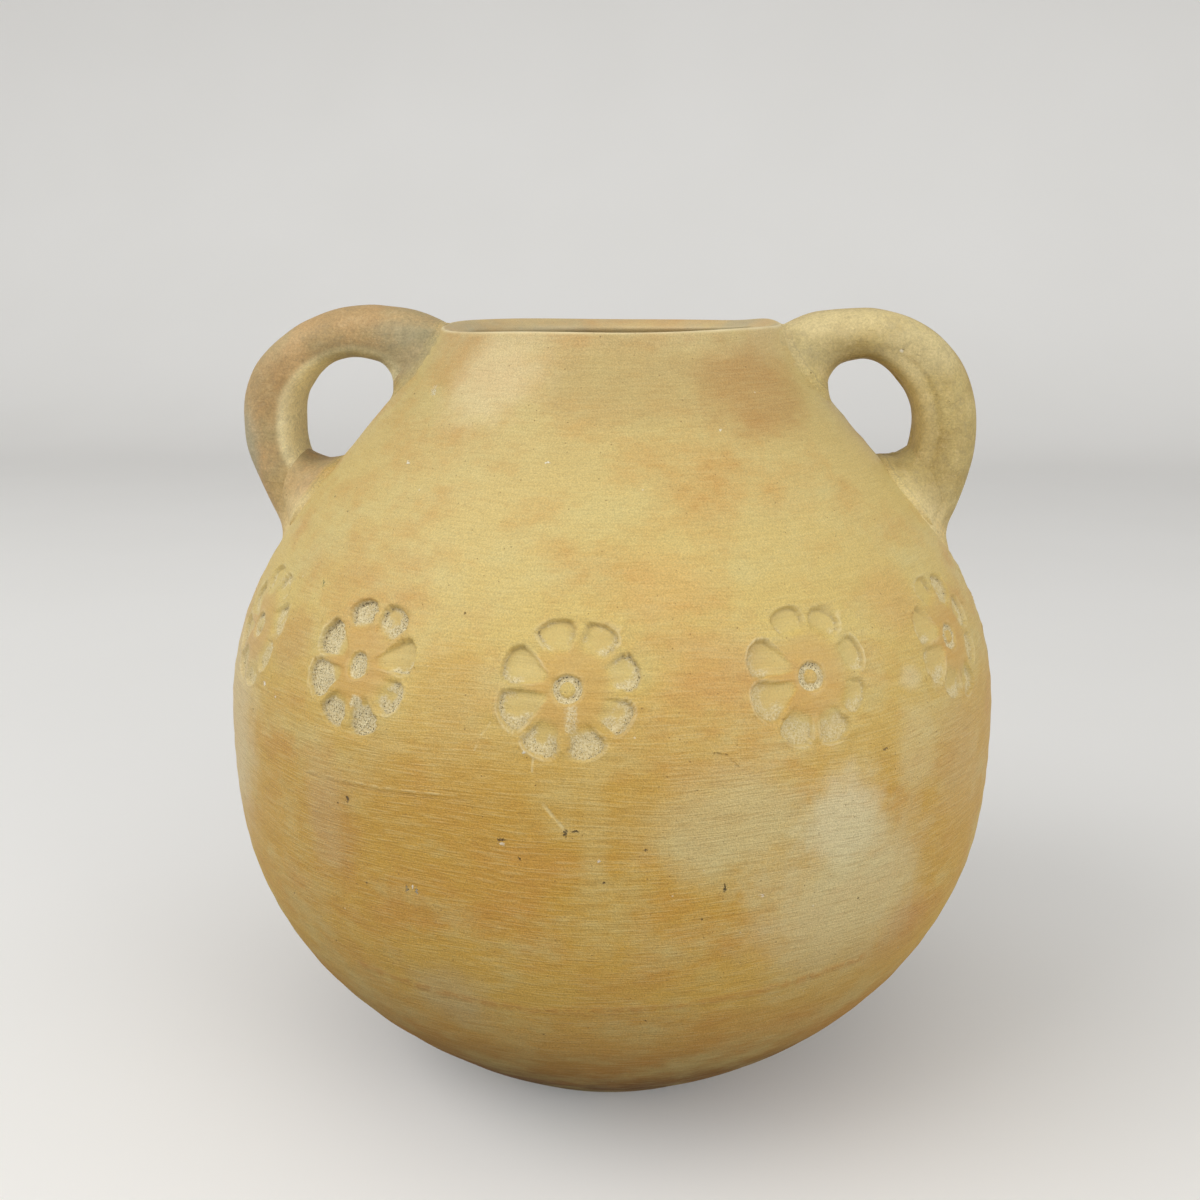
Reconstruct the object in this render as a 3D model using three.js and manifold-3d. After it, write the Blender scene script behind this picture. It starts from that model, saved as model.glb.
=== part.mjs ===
// Round-bellied earthenware jar used as a planter, with two loop handles and a ring of stamped rosettes.
// The body is thrown in one piece and open at the mouth. The handles are pulled coils of clay, luted
// on at the rim and at the shoulder, with a wad of clay worked into each inner corner.
// Millimetres, +Z up, origin at the middle of the flat base. The handles lie along X and the front,
// where one rosette is centred, faces -Y.

import * as THREE from 'three';
import { mergeVertices } from 'three/addons/utils/BufferGeometryUtils.js';
import Module from 'manifold-3d';

const wasm = await Module();
wasm.setup();

// Body outline: flat base, round belly, straight shoulder, slightly hollow neck
const baseRadius = 36.5;
const bellyRadius = 105;
const bellyHeight = 101;
const shoulderRadius = 72.5;
const neckHeight = 34.3;
const rimRadius = 46.6;
const bodyHeight = 207.3;
const footAngle = 28.8;
const shoulderAngle = 46.8;
const rimAngle = 60;
const wall = 6;
const floorThickness = 9;

// How far each end of a curve pulls its outline, as a share of the straight distance it spans
const footPull = 0.606;
const lowerBellyPull = 0.243;
const upperBellyPull = 0.21;
const shoulderPull = 0.594;
const neckPull = 0.28;

// Rosettes: flowers stamped into the upper belly, with teardrop petals round a ringed eye
const rosetteCount = 12;
const rosetteHeight = 136;
const petalCount = 8;
const petalTip = 5;
const petalEnd = 15;
const petalWidth = 7.4;
const petalDepth = 2;
const petalTilt = 9;
const eyeRadius = 2.4;
const eyeGrooveWidth = 1.6;
const rosetteTurn = 16;

// Handles: where they sit, how far they stand off and how thick they are
const upperSeatDrop = 6;
const lowerSeatDrop = 48;
const upperRootAngle = 14;
const lowerRootAngle = 55;
const reachDrop = 26.5;
const crownOffset = 17;
const loopFullness = 0.76;
const upperRootDepth = 16;
const crownThickness = 13.8;
const sideThickness = 17;
const lowerRootDepth = 22;
const rootWidth = 27;
const gripWidth = 19;
const seatSink = 5;
const sectionSquareness = 2.4;
const leftCrownRise = 5.8;
const rightCrownRise = 4.8;
const leftFingerGap = 21.5;
const rightFingerGap = 16.3;

// Luting wads in the inner corners
const wadWidth = 22;
const upperWadReach = 6.5;
const upperWadRise = 6;
const lowerWadReach = 10;
const lowerWadRise = 5;

// Clearance kept between pieces that touch
const jointGap = 0.3;

// Facets
const bodySides = 60;
const curveSteps = 8;
const neckSteps = 3;
const lipSteps = 4;
const handleSides = 14;
const handleSteps = 24;
const wadSides = 12;
const petalSides = 6;
const petalEndSteps = 3;
const eyeSides = 10;
const grooveSides = 5;

const radians = THREE.MathUtils.degToRad;

// A curve of the outline between two points, leaving and arriving along given directions
function outlineCurve(from, fromDirection, fromPull, to, toDirection, toPull) {
  const span = from.distanceTo(to);
  return new THREE.CubicBezierCurve(
    from,
    from.clone().addScaledVector(fromDirection, fromPull * span),
    to.clone().addScaledVector(toDirection, -toPull * span),
    to,
  );
}

// The outer face from the edge of the base to the rim, as radius and height
const foot = new THREE.Vector2(baseRadius, 0);
const belly = new THREE.Vector2(bellyRadius, bellyHeight);
const shoulder = new THREE.Vector2(shoulderRadius, bodyHeight - neckHeight);
const rim = new THREE.Vector2(rimRadius, bodyHeight - (wall / 2) * (1 - Math.cos(radians(rimAngle))));
const upward = new THREE.Vector2(0, 1);
const footDirection = new THREE.Vector2(Math.cos(radians(footAngle)), Math.sin(radians(footAngle)));
const shoulderDirection = new THREE.Vector2(-Math.cos(radians(shoulderAngle)), Math.sin(radians(shoulderAngle)));
const rimDirection = new THREE.Vector2(-Math.cos(radians(rimAngle)), Math.sin(radians(rimAngle)));
const outline = [
  { curve: outlineCurve(foot, footDirection, footPull, belly, upward, lowerBellyPull), steps: curveSteps },
  { curve: outlineCurve(belly, upward, upperBellyPull, shoulder, shoulderDirection, shoulderPull), steps: curveSteps },
  { curve: outlineCurve(shoulder, shoulderDirection, neckPull, rim, rimDirection, neckPull), steps: neckSteps },
];

// Points on the outer face, each with the direction straight out of the wall
function outerStations() {
  const stations = [];
  for (const { curve, steps } of outline) {
    for (let i = stations.length ? 1 : 0; i <= steps; i += 1) {
      const along = curve.getTangentAt(i / steps);
      stations.push({ point: curve.getPointAt(i / steps), outward: new THREE.Vector2(along.y, -along.x) });
    }
  }
  return stations;
}

const stations = outerStations();

// The outer face moved out by a distance, or into the clay by a negative one
function offsetFace(distance) {
  return stations.map(({ point, outward }) => point.clone().addScaledVector(outward, distance));
}

// Point and outward direction on the outer face at a height
function faceAt(height) {
  let low = 0;
  while (low < stations.length - 2 && stations[low + 1].point.y < height) low += 1;
  const a = stations[low];
  const b = stations[low + 1];
  const share = (height - a.point.y) / (b.point.y - a.point.y);
  return {
    point: a.point.clone().lerp(b.point, share),
    outward: a.outward.clone().lerp(b.outward, share).normalize(),
  };
}

// A closed geometry as a solid, turned face out if its faces point in
function solidOf(geometry) {
  const bare = geometry.index ? geometry.clone() : geometry;
  bare.deleteAttribute('normal');
  bare.deleteAttribute('uv');
  const merged = mergeVertices(bare, 1e-4);
  const corners = Array.from(merged.index.array);
  const position = merged.attributes.position;
  const [a, b, c] = [new THREE.Vector3(), new THREE.Vector3(), new THREE.Vector3()];
  const kept = [];
  let volume = 0;
  for (let i = 0; i < corners.length; i += 3) {
    const [p, q, r] = corners.slice(i, i + 3);
    if (p === q || q === r || r === p) continue;
    kept.push(p, q, r);
    a.fromBufferAttribute(position, p);
    b.fromBufferAttribute(position, q);
    c.fromBufferAttribute(position, r);
    volume += a.dot(b.cross(c));
  }
  if (volume < 0) kept.reverse();
  return new wasm.Manifold(new wasm.Mesh({
    numProp: 3,
    vertProperties: new Float32Array(position.array),
    triVerts: new Uint32Array(kept),
  }));
}

// A solid as a named mesh in the fired clay of the jar
function clayMesh(name, solid, colour, roughness) {
  const { vertProperties, triVerts } = solid.getMesh();
  const geometry = new THREE.BufferGeometry();
  geometry.setAttribute('position', new THREE.BufferAttribute(vertProperties, 3));
  geometry.setIndex(new THREE.BufferAttribute(triVerts, 1));
  geometry.computeVertexNormals();
  const mesh = new THREE.Mesh(geometry, new THREE.MeshStandardMaterial({ color: colour, roughness, metalness: 0 }));
  mesh.name = name;
  return mesh;
}

// A profile of radius and height turned about the upright axis
function turned(profile) {
  return new THREE.LatheGeometry(profile, bodySides).rotateX(Math.PI / 2);
}

// Body: outer face, rounded lip, inner face and flat floor
function bodySolid() {
  const outer = offsetFace(0);
  const inner = offsetFace(-wall).filter((point) => point.y > floorThickness + wall / 2).reverse();
  const lipCentre = outer.at(-1).clone().add(inner[0]).multiplyScalar(0.5);
  const lip = [];
  for (let i = 1; i < lipSteps; i += 1) {
    lip.push(outer.at(-1).clone().rotateAround(lipCentre, (Math.PI * i) / lipSteps));
  }
  const floorEdge = new THREE.Vector2(inner.at(-1).x - wall, floorThickness);
  return solidOf(turned([
    new THREE.Vector2(0, 0), ...outer, ...lip, ...inner, floorEdge, new THREE.Vector2(0, floorThickness),
  ]));
}

// Turns a cutter with its length along X and its depth along Z to lie on the face of the body,
// a distance out from the middle of a rosette in a direction given in degrees from level
function laidOnFace(geometry, azimuth, direction, distance, tilt) {
  const middle = faceAt(rosetteHeight);
  const height = rosetteHeight + distance * Math.sin(radians(direction)) * middle.outward.x;
  const { point, outward } = faceAt(height);
  const turn = radians(azimuth) + (distance * Math.cos(radians(direction))) / point.x;
  const level = new THREE.Vector3(Math.cos(turn), Math.sin(turn), 0);
  const radial = new THREE.Vector3(Math.sin(turn), -Math.cos(turn), 0);
  const normal = radial.clone().multiplyScalar(outward.x).setZ(outward.y);
  const along = level.multiplyScalar(Math.cos(radians(direction)))
    .addScaledVector(normal.clone().cross(level.clone().normalize()), Math.sin(radians(direction)));
  const across = normal.clone().cross(along);
  const place = radial.multiplyScalar(point.x).setZ(point.y);
  const turned = new THREE.Matrix4().makeBasis(along, across, normal).setPosition(place);
  return geometry.rotateY(radians(tilt)).applyMatrix4(turned);
}

// A teardrop that tapers to the eye of the rosette and is round and deepest at its outer end
function petalCutter(azimuth, direction) {
  const length = petalEnd - petalTip;
  const endRadius = petalWidth / 2;
  const tangent = Math.acos(endRadius / (length - endRadius));
  const profile = [new THREE.Vector2(0, -length + endRadius)];
  for (let i = 0; i <= petalEndSteps; i += 1) {
    const angle = THREE.MathUtils.lerp(Math.PI - tangent, 0, i / petalEndSteps);
    profile.push(new THREE.Vector2(endRadius * Math.sin(angle), endRadius * Math.cos(angle)));
  }
  const drop = new THREE.LatheGeometry(profile, petalSides).rotateZ(-Math.PI / 2);
  drop.scale(1, 1, petalDepth / endRadius);
  return solidOf(laidOnFace(drop, azimuth, direction, petalEnd - endRadius, petalTilt));
}

// The round groove that leaves a button of clay in the middle of a rosette
function eyeCutter(azimuth) {
  const groove = new THREE.TorusGeometry(eyeRadius, eyeGrooveWidth / 2, grooveSides, eyeSides);
  return solidOf(laidOnFace(groove, azimuth, 0, 0, 0));
}

// All the recesses that the stamp leaves round the body
function rosetteCutters() {
  const cutters = [];
  for (let i = 0; i < rosetteCount; i += 1) {
    const azimuth = (360 * i) / rosetteCount;
    cutters.push(eyeCutter(azimuth));
    for (let k = 0; k < petalCount; k += 1) cutters.push(petalCutter(azimuth, rosetteTurn + (360 * k) / petalCount));
  }
  return cutters;
}

// The space of the body and its hollow, grown by the joint gap, that handles and wads keep out of
function bodyEnvelope() {
  const grown = offsetFace(jointGap);
  const top = grown.at(-1);
  return solidOf(turned([
    new THREE.Vector2(0, -jointGap), new THREE.Vector2(grown[0].x, -jointGap), ...grown,
    new THREE.Vector2(top.x, bodyHeight + upperRootDepth), new THREE.Vector2(0, bodyHeight + upperRootDepth),
  ]));
}

// Middle line of a handle in the plane of X and Z, from inside the neck to inside the shoulder
function handleLine(side, crownRise, fingerGap) {
  const upper = faceAt(bodyHeight - upperSeatDrop);
  const lower = faceAt(bodyHeight - lowerSeatDrop);
  const reachHeight = bodyHeight - reachDrop;
  const reach = new THREE.Vector2(faceAt(reachHeight).point.x + fingerGap + sideThickness / 2, reachHeight);
  const crown = new THREE.Vector2(upper.point.x + crownOffset, bodyHeight + crownRise - crownThickness / 2);
  const corner = new THREE.Vector2(
    crown.x + (reach.x - crown.x) * loopFullness,
    reach.y + (crown.y - reach.y) * loopFullness,
  );
  const sinkAt = (point, angle) => point.clone()
    .add(new THREE.Vector2(-Math.cos(radians(angle)), -Math.sin(radians(angle))).multiplyScalar(seatSink));
  const line = [
    sinkAt(upper.point, upperRootAngle), upper.point, crown, corner, reach,
    lower.point, sinkAt(lower.point, lowerRootAngle),
  ];
  return new THREE.CatmullRomCurve3(line.map((point) => new THREE.Vector3(side * point.x, 0, point.y)));
}

// A value that runs smoothly through the given ones, spaced evenly from 0 to 1
function blend(values, share) {
  const place = share * (values.length - 1);
  const index = Math.min(Math.floor(place), values.length - 2);
  return THREE.MathUtils.lerp(values[index], values[index + 1], THREE.MathUtils.smoothstep(place - index, 0, 1));
}

// A pulled handle: a round bar bent along its middle line, with an oval section that swells at the roots
function handleSolid(side, crownRise, fingerGap, growth = 0) {
  const line = handleLine(side, crownRise, fingerGap);
  const bar = new THREE.CylinderGeometry(1, 1, 1, handleSides, handleSteps);
  const position = bar.attributes.position;
  const across = new THREE.Vector3(0, 1, 0);
  for (let i = 0; i < position.count; i += 1) {
    const share = THREE.MathUtils.clamp(position.getY(i) + 0.5, 0, 1);
    const thickness = blend([upperRootDepth, crownThickness, crownThickness, sideThickness, lowerRootDepth], share);
    const width = blend([rootWidth, gripWidth, gripWidth, gripWidth, rootWidth], share);
    const inward = line.getTangentAt(share).cross(across);
    const [c, s] = [position.getX(i), position.getZ(i)];
    const squared = (value) => Math.sign(value) * Math.abs(value) ** (2 / sectionSquareness);
    const place = line.getPointAt(share)
      .addScaledVector(inward, squared(c) * (thickness / 2 + growth))
      .addScaledVector(across, squared(s) * (width / 2 + growth));
    position.setXYZ(i, place.x, place.y, place.z);
  }
  return solidOf(bar);
}

// A flattened ball of clay pressed into the inner corner, half a root's depth up or down the wall
function wadSolid(side, seatDrop, alongWall, reach, rise) {
  const { point, outward } = faceAt(bodyHeight - seatDrop);
  const ball = new THREE.SphereGeometry(1, wadSides, wadSides / 2);
  ball.scale(reach, wadWidth / 2, rise);
  ball.translate(side * (point.x - outward.y * alongWall), 0, point.y + outward.x * alongWall);
  return solidOf(ball);
}

const envelope = bodyEnvelope();

const jar = new THREE.Group();
const stampedBody = rosetteCutters().reduce((body, cutter) => body.subtract(cutter), bodySolid());
jar.add(clayMesh('pot_body', stampedBody, 0xcdb478, 0.62));

for (const handle of [
  { name: 'left', side: -1, crownRise: leftCrownRise, fingerGap: leftFingerGap, colour: 0xc39c68 },
  { name: 'right', side: 1, crownRise: rightCrownRise, fingerGap: rightFingerGap, colour: 0xc6ab77 },
]) {
  const { name, side, crownRise, fingerGap, colour } = handle;
  const coil = handleSolid(side, crownRise, fingerGap).subtract(envelope);
  const grownCoil = handleSolid(side, crownRise, fingerGap, jointGap);
  jar.add(clayMesh(`${name}_handle`, coil, colour, 0.65));
  const upperBall = wadSolid(side, upperSeatDrop, -upperRootDepth / 2, upperWadReach, upperWadRise);
  const lowerBall = wadSolid(side, lowerSeatDrop, lowerRootDepth / 2, lowerWadReach, lowerWadRise);
  jar.add(clayMesh(`${name}_upper_wad`, upperBall.subtract(envelope).subtract(grownCoil), 0xb4a06c, 0.7));
  jar.add(clayMesh(`${name}_lower_wad`, lowerBall.subtract(envelope).subtract(grownCoil), 0xbd9f6c, 0.7));
}

export default jar;
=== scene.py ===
import math
import bpy
import numpy as np
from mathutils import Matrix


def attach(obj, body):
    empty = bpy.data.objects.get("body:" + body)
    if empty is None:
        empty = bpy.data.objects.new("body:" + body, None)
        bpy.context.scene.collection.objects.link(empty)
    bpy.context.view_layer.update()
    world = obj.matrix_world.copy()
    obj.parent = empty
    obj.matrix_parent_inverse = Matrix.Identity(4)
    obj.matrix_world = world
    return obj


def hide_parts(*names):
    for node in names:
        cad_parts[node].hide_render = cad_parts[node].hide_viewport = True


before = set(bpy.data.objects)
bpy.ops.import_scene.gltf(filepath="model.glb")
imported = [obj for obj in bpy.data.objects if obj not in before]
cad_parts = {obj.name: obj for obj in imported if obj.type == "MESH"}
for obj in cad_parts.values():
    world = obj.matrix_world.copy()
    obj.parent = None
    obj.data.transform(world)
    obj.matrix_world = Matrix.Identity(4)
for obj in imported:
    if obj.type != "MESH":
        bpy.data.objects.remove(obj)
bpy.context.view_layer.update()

# Camera. It looks at the jar from a little above its rim and a little to the right of its front
# rosette, at the photograph's viewing angle and distance. Millimetres and degrees.
MM = 0.001
LENS, SENSOR = 40.5, 36.0
CAMERA_AT, CAMERA_TURN = (34.15, -368.12, 221.87), (76.26, 0.117, 5.761)
camera = bpy.data.objects.new("camera", bpy.data.cameras.new("camera"))
camera.data.sensor_width, camera.data.lens = SENSOR, LENS
camera.data.clip_start, camera.data.clip_end = 0.01, 20.0
camera.location = [value * MM for value in CAMERA_AT]
camera.rotation_euler = [math.radians(degrees) for degrees in CAMERA_TURN]
bpy.context.scene.collection.objects.link(camera)
bpy.context.scene.camera = camera

# Pot body. A thrown jar of buff earthenware, hollow and open at the mouth, with walls of about 6 mm.
# It was shaped on the wheel, stamped round the upper belly while soft, brushed with a thin ochre slip
# on the turning wheel and fired once, so the slip shows fine level brush rings.
BASE_RADIUS, BELLY_RADIUS, BELLY_HEIGHT = 36.5, 104.6, 101.0
SHOULDER_RADIUS, SHOULDER_HEIGHT = 72.4, 173.0
RIM_RADIUS, BODY_HEIGHT, WALL, FLOOR_HEIGHT = 46.6, 206.6, 6.0, 9.0
FOOT_ANGLE, SHOULDER_ANGLE, RIM_ANGLE = 28.8, 46.8, 62.0
ROSETTE_HEIGHT, ROSETTE_HALF = 136.0, 17.2


def bezier(start, angle_out, pull_out, end, angle_in, pull_in, count=160):
    """Cubic curve from start to end in radius and height. It leaves at one angle and arrives at
    another, in degrees above level, pulled along each by a share of the straight span."""
    a, b = np.array(start, float), np.array(end, float)
    span = np.linalg.norm(b - a)
    out, into = [np.array([math.cos(math.radians(d)), math.sin(math.radians(d))]) for d in (angle_out, angle_in)]
    t = np.linspace(0.0, 1.0, count)[:, None]
    p, q = a + out * pull_out * span, b - into * pull_in * span
    return (1 - t) ** 3 * a + 3 * (1 - t) ** 2 * t * p + 3 * (1 - t) * t ** 2 * q + t ** 3 * b


def along(points):
    """Running length of a line of points."""
    return np.concatenate([[0.0], np.cumsum(np.linalg.norm(np.diff(points, axis=0), axis=1))])


def unit(vectors):
    """The same directions with a length of 1."""
    return vectors / np.linalg.norm(vectors, axis=-1, keepdims=True)


def outward(points):
    """Unit normals on the right-hand side of a line of points in radius and height."""
    step = unit(np.gradient(points, axis=0))
    return np.stack([step[:, 1], -step[:, 0]], axis=1)


belly, shoulder = (BELLY_RADIUS, BELLY_HEIGHT), (SHOULDER_RADIUS, SHOULDER_HEIGHT)
rim = (RIM_RADIUS, BODY_HEIGHT - WALL / 2 * (1 - math.cos(math.radians(RIM_ANGLE))))
outer = np.vstack([bezier((BASE_RADIUS, 0), FOOT_ANGLE, 0.606, belly, 90, 0.243),
                   bezier(belly, 90, 0.21, shoulder, 180 - SHOULDER_ANGLE, 0.594)[1:],
                   bezier(shoulder, 180 - SHOULDER_ANGLE, 0.28, rim, 180 - RIM_ANGLE, 0.28)[1:]])
outer_normal = outward(outer)
inner = (outer - WALL * outer_normal)[::-1]
inner = inner[inner[:, 1] > FLOOR_HEIGHT + 1.5]
# The lip is cut flat across the wall, with its two corners worn round to about a millimetre.
lip_turn = np.linspace(0, np.pi, 61)[1:-1]
lip_out, lip_up = np.sign(np.cos(lip_turn)) * np.abs(np.cos(lip_turn)) ** 0.4, np.abs(np.sin(lip_turn)) ** 0.4
lip_axis = np.array([-outer_normal[-1, 1], outer_normal[-1, 0]])
lip = outer[-1] + WALL / 2 * ((lip_out - 1)[:, None] * outer_normal[-1] + lip_up[:, None] * lip_axis)
lip_run = along(np.vstack([outer[-1:], lip, inner[:1]]))
LIP_LENGTH, LIP_CORNER = lip_run[-1], lip_run[15]
outer_length = along(outer)[-1]
ring_at = float(np.interp(ROSETTE_HEIGHT, outer[:, 1], along(outer)))
# One line runs up the outside, over the lip, down the inside and into the floor.
wall_line = np.vstack([outer, lip, inner, [[inner[-1, 0] - 4.0, FLOOR_HEIGHT + 0.2]]])
wall_run, wall_normal = along(wall_line), outward(wall_line)


def wall_point(run):
    """Radius, height and outward direction of the turned line at a running length."""
    place, normal = [np.stack([np.interp(run, wall_run, line[:, i]) for i in (0, 1)], axis=-1)
                     for line in (wall_line, wall_normal)]
    return place, unit(normal)


def grain(x, y, cell, seed):
    """Smooth random field from -1 to 1: hashed values on a square lattice of the given cell, blended
    between the four corners with an S-shaped weight."""
    gx, gy = x / cell, y / cell
    ix, iy = np.floor(gx).astype(np.int64), np.floor(gy).astype(np.int64)
    fx, fy = gx - ix, gy - iy
    fx, fy = fx * fx * (3 - 2 * fx), fy * fy * (3 - 2 * fy)

    def hashed(i, j):
        n = (i * 374761393 + j * 668265263 + seed * 974634777) & 0xFFFFFFFF
        n = ((n ^ (n >> 13)) * 1274126177) & 0xFFFFFFFF
        return ((n ^ (n >> 16)) & 0xFFFF) / 32767.5 - 1.0

    low = hashed(ix, iy) * (1 - fx) + hashed(ix + 1, iy) * fx
    high = hashed(ix, iy + 1) * (1 - fx) + hashed(ix + 1, iy + 1) * fx
    return low * (1 - fy) + high * fy


def smooth(low, high, value):
    """S-shaped step from 0 at low to 1 at high."""
    t = np.clip((value - low) / (high - low), 0.0, 1.0)
    return t * t * (3 - 2 * t)


def bell(value, middle, width):
    """Bell-shaped bump of height 1 round a middle value."""
    return np.exp(-((value - middle) / width) ** 2)


def wrap(angle):
    """The same angle between minus half a turn and half a turn."""
    return (angle + np.pi) % (2 * np.pi) - np.pi


def thrown(theta, run):
    """How far the wall stands in or out of the true turned form: slightly out of round, with soft
    throwing rings, a few shallow flats where the soft jar was handled and a swelling under the left
    handle. In millimetres."""
    height = np.interp(run, wall_run, wall_line[:, 1])
    swell = 0.22 * np.sin(2 * theta + 0.7 + height / 90) + 0.13 * np.sin(3 * theta - 1.1 - height / 60)
    rings = 0.07 * np.sin(height * 0.93 + 0.5 * np.sin(height * 0.21) + theta)
    rings = rings + 0.05 * np.sin(height * 2.1 + 1.3 * np.sin(height * 0.13))
    flats = 0.16 * np.sin(5 * theta + height / 25) * np.sin(height / 31 + 2 * np.sin(theta))
    left = bell(wrap(theta - np.pi), 0, 0.7) * bell(height, 184, 11)
    return (swell + rings + flats) * smooth(0, 12, run) - 0.25 + 1.0 * left


def rim_wave(theta, height):
    """How far the rim dips and rises round the mouth, from nothing at the shoulder: lowest at the
    left front, drawn up a little where the left coil is pressed over it, pushed down under the right
    one and drawn up behind it."""
    def near(angle, spread):
        return np.exp(-(1 - np.cos(theta - angle)) / spread)

    drawn_up = 0.9 * near(2.95, 0.07) - 0.5 * near(0.05, 0.07) + 0.9 * near(0.38, 0.035)
    wave = 0.65 + 0.35 * np.sin(theta) + 0.5 * np.cos(theta + 0.35) + 0.2 * np.sin(3 * theta + 0.5)
    return smooth(SHOULDER_HEIGHT, BODY_HEIGHT, height) * (wave + drawn_up)


def polar(theta, radius, height):
    """Points from an angle round from +X, a radius and a height."""
    return np.stack(np.broadcast_arrays(radius * np.cos(theta), radius * np.sin(theta), height), axis=-1)


def raised(theta, run, lift, side=1):
    """Points of the jar in millimetres at an angle round from +X and a running length along the
    turned line, as thrown and then lifted along the wall's own direction. With side -1 the angle is
    counted from -X, and the points come out mirrored."""
    place, normal = wall_point(run)
    true_theta = theta if side > 0 else np.pi - theta
    lift = thrown(true_theta, run) + lift
    height = place[..., 1] + lift * normal[..., 1] + rim_wave(true_theta, place[..., 1])
    return polar(theta, place[..., 0] + lift * normal[..., 0], height)


# The stamps. One stamp is pressed twelve times round the shoulder: a flower of eight petals round a
# ringed eye, about 32 mm across. Each petal has its direction from the right in degrees, its half
# width and its outer end in millimetres. Each print has its azimuth from the front and its own turn.
PETALS = [(16.5, 4.0, 15.8), (61.0, 3.9, 16.2), (103.8, 3.95, 16.0), (155.3, 4.5, 15.6), (201.3, 4.7, 16.1),
          (245.0, 3.9, 15.7), (289.4, 3.75, 15.8), (332.8, 3.7, 15.4)]
STAMPS = [(-58.3, 1.0), (-30.1, 0.6), (-0.15, 0.0), (31.65, -1.2), (61.3, 0.5), (91.7, -2.0), (121.7, 3.0),
          (150.0, 0.0), (181.7, -3.0), (210.0, 2.0), (240.0, -1.0), (270.0, 2.5)]
# How the soft clay took each front print: where each petal starts, as millimetres from the eye, how
# wide a band along its edge is broken down to the sand, and how much of the slip is gone there. The
# print of number 1 is the deepest, and the others' petals start and break by chance.
STARTS = {1: [5.0, 8.5, 8.5, 5.0, 4.6, 7.5, 7.5, 8.5], 2: [8.4, 8.6, 7.6, 4.4, 3.9, 7.6, 8.0, 7.8],
          3: [9.4, 10.0, 9.6, 4.3, 3.9, 7.6, 7.8, 8.8]}
BROKEN = {1: [0.6, 2.4, 4.0, 5.0, 5.0, 4.0, 4.0, 2.4], 2: [1.8, 1.5, 1.2, 1.0, 1.8, 2.2, 4.0, 1.8],
          3: [0.8, 1.5, 1.3, 1.2, 2.4, 3.2, 3.2, 1.3]}
SLIP_GONE, SLIP_GONE_ELSEWHERE = {1: 1.0, 3: 0.62}, 0.76
DEEPEST, TRAILING = 1, 2
PETAL_TIP, PETAL_MIDDLE, EYE_RADIUS, EYE_GROOVE = 3.2, 11, 2.4, 1.85


def rounded(p, q, corner):
    """Signed distance to a shape that lies inside two outlines, from the distance to each, with the
    corner where they cross rounded by a radius."""
    p, q = p + corner, q + corner
    return np.hypot(np.maximum(p, 0), np.maximum(q, 0)) + np.minimum(np.maximum(p, q), 0) - corner


def petal_edge(a, b, tip, end, half, corner=1.8, arc_radius=6.2):
    """Signed distance to a petal's outline, negative inside: two straight flanks that spread from a
    tip, closed by a flattish arc at the outer end, with the corners rounded."""
    spread = math.atan2(half, end - 2 * corner - tip)
    flank = np.abs(b) * math.cos(spread) - (a - tip) * math.sin(spread)
    return rounded(flank, np.hypot(a - end + arc_radius, b) - arc_radius, corner)


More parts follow.
